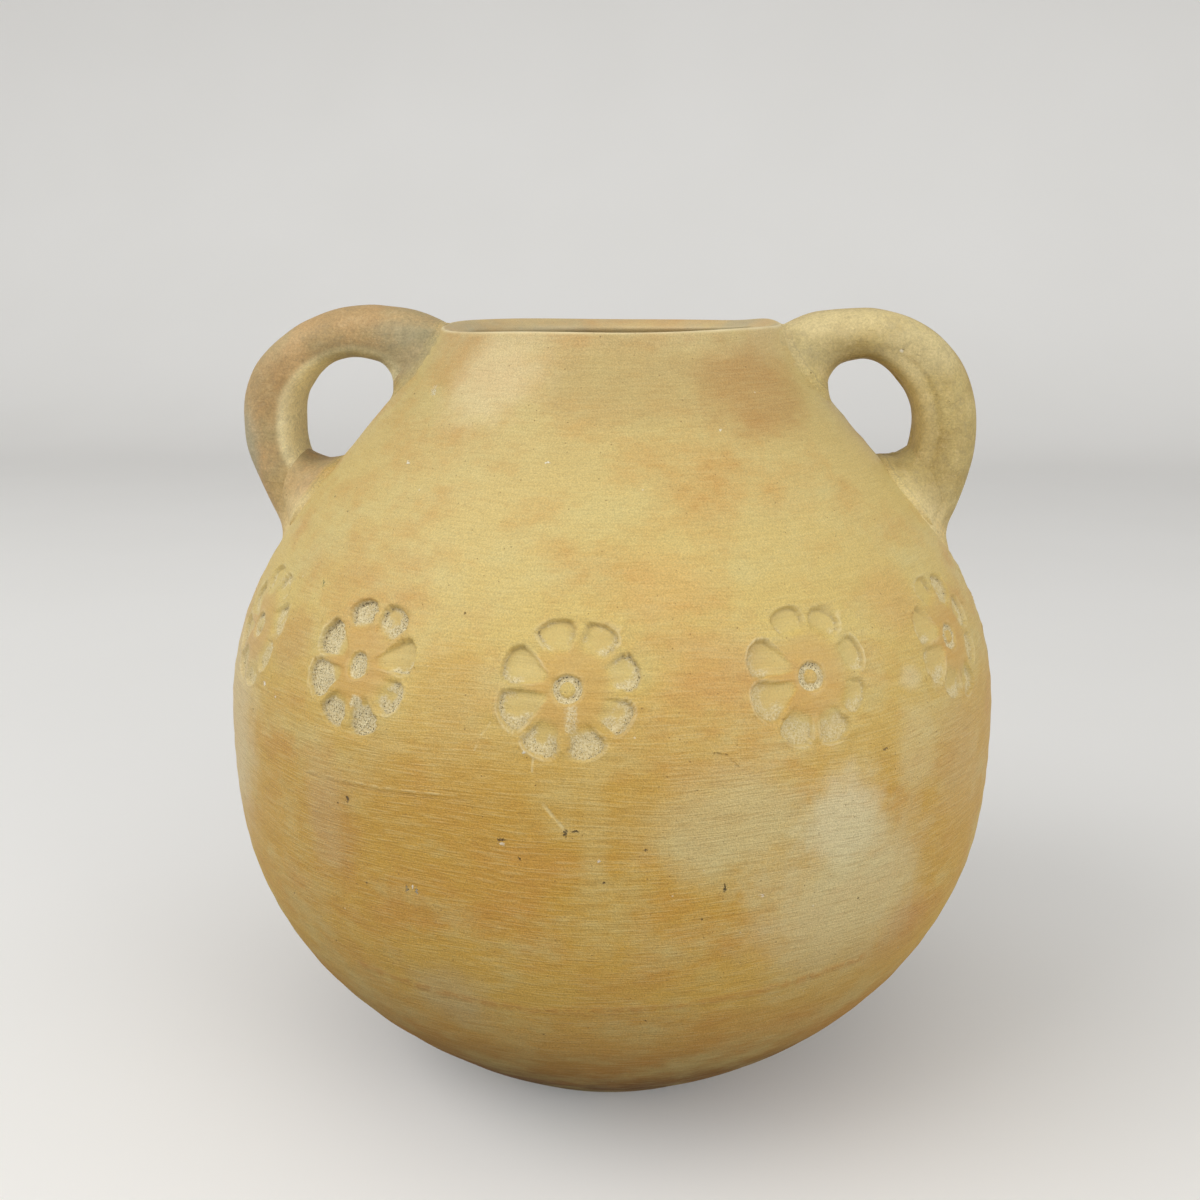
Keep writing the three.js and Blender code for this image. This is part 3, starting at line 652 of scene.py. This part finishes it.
layers = dict(zip(("bare_clay", "worn_edge", "deep_grime_and_shade", "pressed", "inside_face"), np.vstack(masks).T))
body = put_mesh("jar_body", np.vstack(vertices), faces, **layers)
body.data.materials.append(clay)
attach(body, "root")
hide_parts("pot_body")

# Handles. Two loops, each a coil of the same clay pulled thin, pressed to the lip and neck above and
# to the shoulder below while soft. The coil is a flattened round, with a finger groove along the
# inner edge of each side on the right one only, and its ends are smeared out on to the wall.
upper_run = np.arange(np.interp(125.0, outer[:, 1], along(outer)), outer_length + LIP_LENGTH, 0.8)
upper_line, upper_normal = wall_point(upper_run)


def nearest(flat, line):
    """Fractional place, counted in stations, on a line of points that lies nearest to each flat
    point: the nearest station, then the foot of the point on the line's direction there."""
    index = np.argmin(((flat[:, None, :] - line[None]) ** 2).sum(axis=2), axis=1)
    index = np.clip(index, 1, len(line) - 2)
    step = (line[index + 1] - line[index - 1]) / 2
    part = ((flat - line[index]) * step).sum(axis=1) / (step ** 2).sum(axis=1)
    return np.clip(index + np.clip(part, -1, 1), 0, len(line) - 1.001)


def at(values, place):
    """Values between stations, mixed by the fractional place."""
    low = np.floor(place).astype(int)
    part = (place - low)[..., None] if values.ndim > 1 else place - low
    return values[low] * (1 - part) + values[np.minimum(low + 1, len(values) - 1)] * part


def profile_place(points):
    """Radius and height of points, and their nearest place on the upper part of the turned line."""
    flat = np.stack([np.hypot(points[:, 0], points[:, 1]), points[:, 2]], axis=1)
    return flat, nearest(flat, upper_line)


def wall_distance(points, side):
    """Distance outside the jar's outer face and lip, in millimetres: the offset from the nearest
    place of the turned line along the wall's direction. Side is 1 for the right handle, and -1 for
    the left one, whose points are worked out mirrored."""
    theta = np.arctan2(points[:, 1], side * points[:, 0])
    flat, place = profile_place(points)
    spot, normal = at(upper_line, place), at(upper_normal, place)
    gap = ((flat - spot) * normal).sum(axis=1)
    return gap - thrown(theta, at(upper_run, place)) - normal[:, 1] * rim_wave(theta, spot[:, 1])


def smooth_path(points, count):
    """A line of points through the given ones, evenly spaced, from a Catmull-Rom cubic."""
    p = np.array(points, float)
    p = np.vstack([2 * p[0] - p[1], p, 2 * p[-1] - p[-2]])
    t = np.linspace(0, 1, 24, endpoint=False)[:, None]
    parts = [0.5 * (2 * b + (c - a) * t + (2 * a - 5 * b + 4 * c - d) * t ** 2 + (3 * b - a - 3 * c + d) * t ** 3)
             for a, b, c, d in zip(p[:-3], p[1:-2], p[2:-1], p[3:])]
    dense = np.vstack(parts + [p[-2:-1]])
    run = along(dense)
    return np.stack([np.interp(np.linspace(0, run[-1], count), run, column) for column in dense.T], axis=1)


# For each handle: pairs of outer and inner edge in the plane through the axis, as distance from the
# axis and height, from inside the lip round to inside the shoulder, each with the half width across.
RIGHT_COIL = [(40.6, 202.6, 52.6, 183.0, 12.8), (43.4, 206.0, 56.0, 187.0, 12.2), (48.0, 208.8, 57.6, 190.5, 11.3),
              (53.5, 210.9, 58.3, 194.2, 10.4), (60.5, 211.9, 61.2, 197.6, 9.7), (68.3, 212.1, 67.5, 198.8, 9.5),
              (77.0, 210.5, 72.5, 197.0, 9.4), (84.6, 206.7, 76.4, 193.6, 9.3), (90.6, 200.9, 79.0, 189.4, 9.3),
              (94.9, 193.0, 80.5, 184.6, 9.4), (97.1, 184.0, 80.8, 180.0, 9.6), (97.1, 175.0, 80.2, 175.5, 9.8),
              (95.0, 165.8, 78.5, 170.5, 10.4), (91.6, 156.8, 75.5, 166.0, 11.2), (87.0, 148.5, 70.5, 161.5, 12.0),
              (81.0, 142.0, 66.0, 157.0, 12.5)]
LEFT_COIL = [(40.6, 203.2, 52.8, 183.0, 12.8), (43.4, 206.6, 56.4, 187.0, 12.2), (48.0, 209.3, 58.5, 190.5, 11.4),
             (54.0, 211.4, 59.4, 194.5, 10.6), (61.0, 212.3, 62.8, 197.7, 10.0), (69.5, 212.5, 70.3, 198.9, 9.6),
             (79.6, 210.2, 76.0, 197.6, 9.5), (89.2, 205.2, 81.2, 194.4, 9.5), (97.0, 198.1, 84.4, 190.0, 9.5),
             (101.2, 189.8, 86.3, 186.0, 9.6), (102.2, 181.0, 86.8, 180.5, 9.8), (101.6, 173.5, 86.5, 175.5, 10.0),
             (98.8, 165.5, 84.5, 170.4, 10.5), (95.4, 157.7, 79.5, 166.4, 11.2), (91.4, 149.8, 74.0, 161.4, 12.0),
             (85.6, 142.2, 68.0, 156.2, 12.5)]
COIL_STATIONS, END_ROUND, TOP_BLEND, UNDER_BLEND, LOW_BLEND, SUNK = 181, 4.0, 6.0, 2.5, 5.5, 0.45
LAST_PLACE = COIL_STATIONS - 1.001
CREST_RUN = outer_length + LIP_LENGTH - LIP_CORNER + 0.3
AROUND = 96
around = np.linspace(0, 2 * np.pi, AROUND, endpoint=False)


def from_crest(angle):
    """Degrees round a section from its outer edge, either way."""
    return np.degrees(np.abs(wrap(angle)))


class Coil:
    """One handle's coil. The middle line runs halfway between the edges; a section is a rounded
    oval, half the gap between the edges by the half width."""

    def __init__(self, pairs, side, seed):
        rows = smooth_path(pairs, COIL_STATIONS)
        self.side, self.seed, self.width = side, seed, rows[:, 4]
        self.middle, reach = (rows[:, :2] + rows[:, 2:4]) / 2, (rows[:, :2] - rows[:, 2:4]) / 2
        self.half = np.hypot(reach[:, 0], reach[:, 1])
        self.out = reach / self.half[:, None]
        self.run = along(self.middle)
        self.step = self.run[-1] / (COIL_STATIONS - 1)

    def radius(self, place, angle):
        """Radius of the section at an angle from the outer edge towards the back: squarer towards the
        inner edge, with the unevenness of pulled clay and, on the right coil, a finger groove."""
        turned_in, run = from_crest(angle), at(self.run, place)
        power = 2.35 + 0.9 * smooth(95, 125, turned_in)
        c, s = np.abs(np.cos(angle)) / at(self.half, place), np.abs(np.sin(angle)) / at(self.width, place)
        plain = (c ** power + s ** power) ** (-1 / power)
        middle_part = (self.side > 0) * smooth(26, 52, run) * smooth(self.run[-1] - 14, self.run[-1] - 34, run)
        groove = 0.70 * bell(turned_in, 107, 6.0) - 0.42 * bell(turned_in, 127, 9.0)
        lumps = 0.30 * grain(run, angle * 9.0, 13.0, self.seed) + 0.12 * grain(run, angle * 9.0, 4.5, self.seed + 1)
        return plain - groove * middle_part + lumps

    def distance(self, points):
        """Distance outside the coil. A point's place along the coil is where its section line passes
        through the point, found as the change of side between two stations. The end at the lip is
        rounded over by a few millimetres."""
        offset = points[:, None, [0, 2]] - self.middle[None]
        ahead = offset[..., 0] * self.out[:, 1] - offset[..., 1] * self.out[:, 0]
        crossing = (ahead[:, :-1] > 0) != (ahead[:, 1:] > 0)
        cost = (offset[:, :-1] ** 2).sum(axis=2) + np.where(crossing, 0.0, 1e6)
        low, rows = np.argmin(cost, axis=1), np.arange(len(points))
        found, low_end = crossing[rows, low], low > COIL_STATIONS // 2
        a, b = ahead[rows, low], ahead[rows, low + 1]
        place = np.where(found, low + a / np.where(a == b, 1.0, a - b), np.where(low_end, LAST_PLACE, 0.0))
        place = np.clip(place, 0, LAST_PLACE)
        flat = points[:, [0, 2]] - at(self.middle, place)
        u, v = (flat * at(self.out, place)).sum(axis=1), points[:, 1]
        past_end = np.sqrt(np.maximum((flat ** 2).sum(axis=1) - u * u, 0))
        over = np.where(low_end, -END_ROUND, np.where(found, -at(self.run, place), past_end))
        return rounded(np.hypot(u, v) - self.radius(place, np.arctan2(v, u)), over, END_ROUND)

    def section(self, place, angle):
        """Points of the sections at the given places and angles."""
        radius = self.radius(place, angle)
        u, v = radius * np.cos(angle), radius * np.sin(angle)
        middle, out = at(self.middle, place), at(self.out, place)
        return np.stack([middle[..., 0] + out[..., 0] * u, v, middle[..., 1] + out[..., 1] * u], axis=-1)

    def joined(self, points, more=0.0):
        """Distance outside the wall and coil run together with a fillet. It is small in the corner under
        the crown, shrinks to nothing over the crest of the lip and is wider by a given amount under
        a wad."""
        a, b, height = wall_distance(points, self.side), self.distance(points), points[:, 2]
        blend = LOW_BLEND + (UNDER_BLEND - LOW_BLEND) * smooth(170, 178, height) + more
        blend = blend + (TOP_BLEND - UNDER_BLEND) * smooth(192, 203, height)
        blend = blend * (0.15 + 0.85 * smooth(46.0, 54.0, np.hypot(points[:, 0], points[:, 1])))
        close = np.maximum(blend - np.abs(a - b), 0.0) / blend
        return np.minimum(a, b) - close * close * blend / 4


def settle(points, field, level, steps=7):
    """Moves points along the slope of a distance field until they lie at the given distance. The
    level may be one number or one for each point."""
    p = points.reshape(-1, 3).copy()
    level = np.broadcast_to(level, points.shape[:-1]).reshape(-1)
    for _ in range(steps):
        value = field(p)
        slope = np.stack([field(p + 0.05 * axis) - value for axis in np.eye(3)], axis=1) / 0.05
        size = np.maximum((slope ** 2).sum(axis=1), 0.35)
        move = slope * ((value - level) / size)[:, None]
        p -= move * np.minimum(1.0, 2.5 / np.maximum(np.linalg.norm(move, axis=1), 1e-9))[:, None]
    return p.reshape(points.shape)


def on_wall(side, across, run, depth=0.0):
    """Points on the jar's outer face near a handle, from millimetres across towards the back and
    running length, sunk by a depth along the wall's direction."""
    radius = wall_point(run)[0][..., 0]
    return raised(np.arcsin(np.clip(across / np.maximum(radius, 1.0), -1, 1)), run, -depth, side)


class Root:
    """Where a coil runs into the wall: for any angle round the coil, the place along it at which it
    meets the wall, and the same spot on the wall as millimetres across and running length."""

    def __init__(self, coil, top):
        self.coil, self.top, self.away = coil, top, 1.0 if top else -1.0
        places = np.linspace(0, 70, 141) if top else np.linspace(110, COIL_STATIONS - 1.01, 141)
        turn = np.linspace(0, 2 * np.pi, 181)
        grid_place, grid_turn = np.meshgrid(places, turn)
        gap = wall_distance(coil.section(grid_place, grid_turn).reshape(-1, 3), coil.side).reshape(grid_place.shape)
        counts, rows = np.arange(len(places)), np.arange(len(turn))
        hidden = np.where(gap < 0, counts, -1).max(axis=1) if top else np.where(gap < 0, counts, 999).min(axis=1) - 1
        hidden = np.clip(hidden, 0, len(places) - 2)
        before, after = gap[rows, hidden], gap[rows, hidden + 1]
        meet = places[hidden] + (places[1] - places[0]) * np.clip(before / (before - after), 0, 1)
        kernel = np.hanning(11) / np.hanning(11).sum()
        meet = np.convolve(np.concatenate([meet[-6:-1], meet, meet[1:6]]), kernel, mode="valid")
        spot = coil.section(meet, turn)
        run = at(upper_run, profile_place(spot)[1])
        self.turn, self.meet, self.across, self.run = turn, meet, spot[:, 1], run
        self.middle = (run.max() + run.min()) / 2

    def look_up(self, values, angle):
        return np.interp(np.mod(angle, 2 * np.pi), self.turn, values)

    def on_coil(self, angle, distance):
        """Points on the coil at a distance up it from the wall."""
        return self.coil.section(self.look_up(self.meet, angle) + self.away * distance / self.coil.step, angle)

    def on_wall(self, angle, distance, depth=0.0, share=1.0):
        """Points on the wall at a distance outside the coil's edge, or drawn in towards the middle of
        the root by a share, sunk by a depth. At the mouth they stop softly at the lip's inner edge."""
        across, run = self.look_up(self.across, angle), self.look_up(self.run, angle) - self.middle
        scale = share * (1 + distance / np.hypot(across, run))
        far = self.middle + run * scale
        if self.top:
            far = CREST_RUN - 0.8 * np.log1p(np.exp((CREST_RUN - far) / 0.8))
        return on_wall(self.coil.side, across * scale, far, depth)

    def margin(self, angle):
        """How far the smear runs out past the coil's edge. Over the lip it hardly does."""
        if not self.top:
            return LOW_BLEND + 2.0 + 0 * angle
        turned = from_crest(angle)
        return 0.6 + (TOP_BLEND + 1.4) * smooth(12, 75, turned) - (TOP_BLEND - UNDER_BLEND) * smooth(105, 150, turned)


def hand_mesh(name, coil, points, faces, inward, band):
    """A piece of a handle with how much slip covers each point: turned face out where its faces lie
    inward, and mirrored for the left hand."""
    cover = 1 - smooth(0.3, 4.5, wall_distance(points, coil.side))
    points = points * np.array([coil.side * MM, MM, MM])
    return put_mesh(name, points, [f[::-1] for f in faces] if inward else faces, slip_cover=cover, edge_band=band)


def coil_piece(name, coil, top, low):
    """One closed mesh: cap inside the wall, flare from the wall to the coil, coil, flare, cap."""
    def flare(root):
        """Curves from the wall to the coil. Each leaves along the wall, arrives along the coil and is
        settled on the fillet; the outer end dives just under the wall's surface."""
        margin = root.margin(around)
        base, wide = root.on_wall(around, margin), root.on_wall(around, margin + 1.0)
        ring, higher = root.on_coil(around, margin * 1.15 + 1), root.on_coil(around, margin * 1.15 + 2)
        reach = np.linalg.norm(ring - base, axis=1)[:, None]
        t = np.concatenate([[0.0, 0.02, 0.05], np.linspace(0.09, 1.0, 20)[:-1]])[:, None, None]
        leave, arrive = unit(base - wide) * reach, unit(higher - ring) * reach
        h = ((2 * t ** 3 - 3 * t ** 2 + 1) * base + (t ** 3 - 2 * t ** 2 + t) * leave
             + (3 * t ** 2 - 2 * t ** 3) * ring + (t ** 3 - t ** 2) * arrive)
        return settle(h, coil.joined, -SUNK * (1 - smooth(0.0, 0.2, t[..., 0])))

    first = top.look_up(top.meet, around) + (top.margin(around) * 1.15 + 1) / coil.step
    last = low.look_up(low.meet, around) - (low.margin(around) * 1.15 + 1) / coil.step
    place = first + (last - first) * np.linspace(0, 1, 84)[:, None]
    loop = settle(coil.section(place, np.broadcast_to(around, place.shape)), coil.joined, 0.0, 4)
    under = [(0.985, 1.2), (0.93, 2.3), (0.5, 2.6)]
    rows = [top.on_wall(around, top.margin(around), d, s) for s, d in under[::-1]] + list(flare(top)) + list(loop)
    rows += list(flare(low)[::-1]) + [low.on_wall(around, low.margin(around), d, s) for s, d in under]
    ends = on_wall(coil.side, np.zeros(2), np.array([top.middle, low.middle]), 2.6)
    points = np.concatenate([np.array(rows).reshape(-1, 3), ends])
    net = numbered(AROUND, len(rows))
    faces = strips(net) + fan(net.size, net[0][::-1]) + fan(net.size + 1, net[-1])
    turned = from_crest(around)
    band = np.tile(smooth(106, 118, turned) - smooth(32, 20, turned), len(rows))
    return hand_mesh(name, coil, points, faces, coil.side > 0, np.append(band, [0, 0]))


# Kiln smoke and rubbed places on the coils, with painted light in the pale ovals on the two lower
# wads and by the left coil's inner edge, and the pits seen on them, as on the body.
SMOKE_RUBS_AND_PAINTED_LIGHT = [
    ((-64, -8, 200), (17, 14, 4), "#8b7d5c", 0.5), ((-53, -12, 200), (9, 12, 9), "#a99b73", 0.6),
    ((-59, -10, 188), (8, 10, 5), "#ad9c6e", 0.4), ((-54, -14, 206), (10, 8, 4), "#97967a", 0.5),
    ((-100, -7, 174), (4, 9, 13), "#aaa78c", 0.7), ((-93, -9, 191), (8, 8, 9), "#a07d4c", 0.35),
    # The ovals at (-86, -8, 182), (-80, -12, 156) and (76, -12, 156) are painted light on the left coil's inner edge
    # and the lower wads.
    ((-86, -8, 182), (4, 8, 9), "#e6d9ae", 0.5), ((-80, -12, 156), (14, 12, 8), "#efdba6", 0.75),
    ((76, -12, 156), (17, 14, 12), "#ecd9a2", 0.65), ((-78, -5, 211), (20, 14, 5), "#b99361", 0.6),
    ((-88, -9, 160), (7, 9, 10), "#c7a86c", 0.5), ((64, -9, 200), (12, 12, 4), "#938052", 0.55),
    ((52, -14, 205), (10, 14, 8), "#c6b888", 0.5), ((60, -4, 209), (22, 14, 5), "#dfcc98", 0.6),
    ((82, -8, 202), (12, 9, 8), "#d6c694", 0.6), ((85, -10, 172), (5, 8, 14), "#9f8850", 0.35),
    ((-60, 12, 203), (16, 9, 8), "#94895c", 0.4), ((90, 8, 190), (10, 9, 12), "#b09058", 0.4),
]
COIL_MARKS = [((75.8, -9.2, 201.5), 0.8, 0.6, "#e9dfc6", 0.15), ((88.8, -9.3, 188.6), 0.6, 1.0, "#8a8474", 0.35),
              ((-88.0, -9.4, 186.0), 0.5, 0.6, "#e4d5b0", 0.1)]
COIL_MARK_REACH = 2.5


def handled(name):
    """The same clay where hands have rubbed the slip thin: tan and pinkish on the left handle, more
    olive on the right one, with smoke from the kiln in the hollows, slip left at the roots and a
    thin dirty seam along its edge. The pale band inside the left coil and the pale ovals on the lower
    wads are painted light."""
    material, add, shader, place = blank(name)
    slip_colour, slip_height = slipped(add, place)
    cloud = add("TexNoise", place, Scale=0.07, Detail=5.0, Roughness=0.65)
    right = add("Math GREATER_THAN", add("SeparateXYZ", place), 0.0)
    patchy = add("MapRange", cloud, 0.40, 0.62)
    pink, olive = add("MixRGB", patchy, "#c5a473", "#b29d70"), add("MixRGB", patchy, "#b19a5f", "#c6b275")
    colour = add("MixRGB", right, pink, olive)
    band = add("Attribute", attribute_name="edge_band", out="Fac")
    outer_edge = add("Math MULTIPLY", add("Math MULTIPLY", band, -0.55, use_clamp=True), right)
    colour = add("MixRGB", outer_edge, colour, "#a8874f")
    # The band along the inner edge is paler; on the left coil it is painted light, as thrown back on it from the
    # jar's lit shoulder.
    colour = tint(add, colour, band, 0.0, 1.0, add("MixRGB", right, "#f6e9b8", "#c6b077"), 0.9)
    ragged = add("TexNoise", place, Scale=0.2, Detail=5.0, Roughness=0.7)
    torn = add("Math MULTIPLY_ADD", ragged, 0.6, add("Attribute", attribute_name="slip_cover", out="Fac"))
    amount = add("MapRange", torn, 0.75, 1.2, interpolation_type="SMOOTHSTEP")
    colour = add("MixRGB", amount, colour, slip_colour)
    off_seam = add("Math ABSOLUTE", add("Math SUBTRACT", torn, 1.12))
    colour = tint(add, colour, off_seam, 0.07, 0.0, "#85775a", 0.4)
    colour = clouded(add, place, ragged, colour, SMOKE_RUBS_AND_PAINTED_LIGHT)
    mottle = add("TexNoise", place, Scale=0.3, Detail=6.0, Roughness=0.8, Distortion=0.6)
    colour = tint(add, colour, mottle, 0.50, 0.36, "#93866a", 0.3)
    colour = tint(add, colour, mottle, 0.51, 0.64, "#dcc69a", 0.22)
    sand = add("TexNoise", place, Scale=1.6, Detail=3.0, Roughness=0.75)
    colour = add("MixRGB", 1.0, colour, add("MapRange", sand, 0.3, 0.7, 0.8, 1.18), blend_type="MULTIPLY")
    uneven = add("TexNoise", place, Scale=0.35, Detail=4.0, Roughness=0.6)
    height = add("Math MULTIPLY_ADD", uneven, 0.35, slip_height)
    colour, height = pitted(add, place, uneven, colour, height, COIL_MARKS, COIL_MARK_REACH)
    clad(add, shader, colour, height, 0.6, 0.3)
    return material


coils = {"left": Coil(LEFT_COIL, -1, 3), "right": Coil(RIGHT_COIL, 1, 11)}
coil_clay = handled("rubbed_earthenware")
roots = {(hand, top): Root(coil, top) for hand, coil in coils.items() for top in (True, False)}
for hand, coil in coils.items():
    piece = coil_piece(hand + "_coil", coil, roots[hand, True], roots[hand, False])
    piece.data.materials.append(coil_clay)
    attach(piece, "root")
    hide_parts(hand + "_handle")

# Wads. A strip of soft clay is pressed into the corner where each end of a coil meets the wall and
# smeared both ways with a finger. It fills the corner on the inside of the loop and on both sides,
# and its edges still show as faint seams. Each has its spread round the coil in degrees, how far it
# runs up the coil and out over the wall, and how much wider it makes the fillet, in millimetres.
WADS = {("left", "upper"): (100, 4.5, 4.0, 1.2), ("left", "lower"): (112, 13.0, 8.5, 10.0),
        ("right", "upper"): (100, 4.5, 4.0, 1.2), ("right", "lower"): (112, 13.0, 7.5, 8.5)}


def wad_piece(name, coil, root, spread, up_coil, out_wall, more):
    """A closed lens draped over the corner. Its rows run round the root from front to back and its
    columns from the wall up on to the coil; the outside settles on a wider fillet than the coil's
    own, the inside lies under both, and the rim dives just below them."""
    count, cross = 72, 34
    turn = np.linspace(-1, 1, count)[:, None]
    angle = np.pi + turn * math.radians(spread) + np.zeros((1, cross))
    lens = np.sqrt(np.clip(1 - turn ** 2, 0, 1)) * 0.9 + 0.1
    w = np.sin(np.linspace(-np.pi / 2, np.pi / 2, cross))[None, :] + 0 * turn
    start = np.where(w[..., None] < 0, root.on_wall(angle, np.maximum(-w, 0) * out_wall * lens),
                     root.on_coil(angle, np.maximum(w, 0) * up_coil * lens))
    edge = np.maximum(np.abs(turn) ** 6, np.abs(w) ** 7)
    lump = (0.06 if root.top else 0.2) * grain(angle * 12.0, w * 9.0, 6.0, coil.seed + 5)
    outside = settle(start, lambda p: coil.joined(p, more), 0.08 + lump, 10)
    close = coil.joined(outside.reshape(-1, 3)).reshape(edge.shape)
    outside = settle(outside, coil.joined, close * (1 - edge) - SUNK * edge, 4)
    inside = settle(outside, coil.joined, -1.8, 6)
    points = np.concatenate([outside.reshape(-1, 3), inside.reshape(-1, 3)])
    net = numbered(cross, count)
    sheet = strips(net, around=False)
    rim = np.concatenate([net[0], net[1:, -1], net[-1, -2::-1], net[-2:0:-1, 0]])
    walls = np.stack([rim, rim + net.size, np.roll(rim, -1) + net.size, np.roll(rim, -1)], axis=1).tolist()
    faces = sheet + [[i + net.size for i in f[::-1]] for f in sheet] + walls
    return hand_mesh(name, coil, points, faces, coil.side * root.away < 0, np.zeros(len(points)))


wad_clay = handled("smeared_earthenware")
for (hand, level), numbers in WADS.items():
    piece = wad_piece(hand + "_" + level + "_smear", coils[hand], roots[hand, level == "upper"], *numbers)
    piece.data.materials.append(wad_clay)
    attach(piece, "root")
    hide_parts(hand + "_" + level + "_wad")

# Floor, backdrop and lamps. A pale sheet swept up behind the jar, a broad soft lamp from the upper
# left and a weaker one from the right, so that colours render about as they are written.
SHEET_ACROSS = 13
bend = np.linspace(0, np.pi / 2, 16)[1:]
sweep_y = np.concatenate([np.linspace(-2.5, 1.2, 30), 1.2 + 0.8 * np.sin(bend), [2.0]])[:, None]
sweep_z = np.concatenate([np.zeros(30), 0.8 - 0.8 * np.cos(bend), [3.5]])[:, None]
sheet = np.stack(np.broadcast_arrays(np.linspace(-3.0, 3.0, SHEET_ACROSS), sweep_y, sweep_z), axis=-1)
floor = put_mesh("floor", sheet.reshape(-1, 3), strips(numbered(SHEET_ACROSS, len(sweep_y)), around=False))
paper, add, shader, place = blank("pale_paper")
paper_colour = add("MixRGB", add("TexNoise", place, Scale=0.004, Detail=2.0), "#ebeae7", "#f1f0ee")
# The lens and glossy surfaces see white paper; what it throws back on the jar from below is as little
# as from a dark table top, so that the underside falls off into shade.
ways = add("LightPath").node.outputs
seen = add("Math MAXIMUM", ways["Is Camera Ray"], ways["Is Glossy Ray"])
seen = add("Math MAXIMUM", seen, ways["Is Transmission Ray"])
plug(shader, {"Base Color": add("MixRGB", seen, "#4a3c2c", paper_colour), "Roughness": 0.9,
              "Emission Color": "#ffffff", "Emission Strength": add("Math MULTIPLY", seen, 0.06)})
floor.data.materials.append(paper)


def lamp(name, size, place, target, watts):
    """A square area lamp that faces a target point."""
    light = bpy.data.lights.new(name, "AREA")
    light.size, light.energy = size, watts
    holder = bpy.data.objects.new(name, light)
    holder.location = place
    away = np.array(place) - np.array(target)
    level = math.hypot(away[0], away[1])
    holder.rotation_euler = (math.atan2(level, away[2]), 0.0, math.atan2(away[0], -away[1]))
    bpy.context.scene.collection.objects.link(holder)


lamp("key", 1.3, (-1.1, -0.75, 1.0), (0.0, 0.0, 0.1), 13)
lamp("fill", 0.9, (1.25, -0.95, 0.42), (0.0, 0.0, 0.1), 10)
world = bpy.data.worlds.new("studio")
bpy.context.scene.world = world
world.use_nodes = True
world.node_tree.nodes["Background"].inputs["Color"].default_value = (0.84, 0.84, 0.83, 1)
world.node_tree.nodes["Background"].inputs["Strength"].default_value = 0.85
bpy.context.scene.view_settings.view_transform = "Standard"
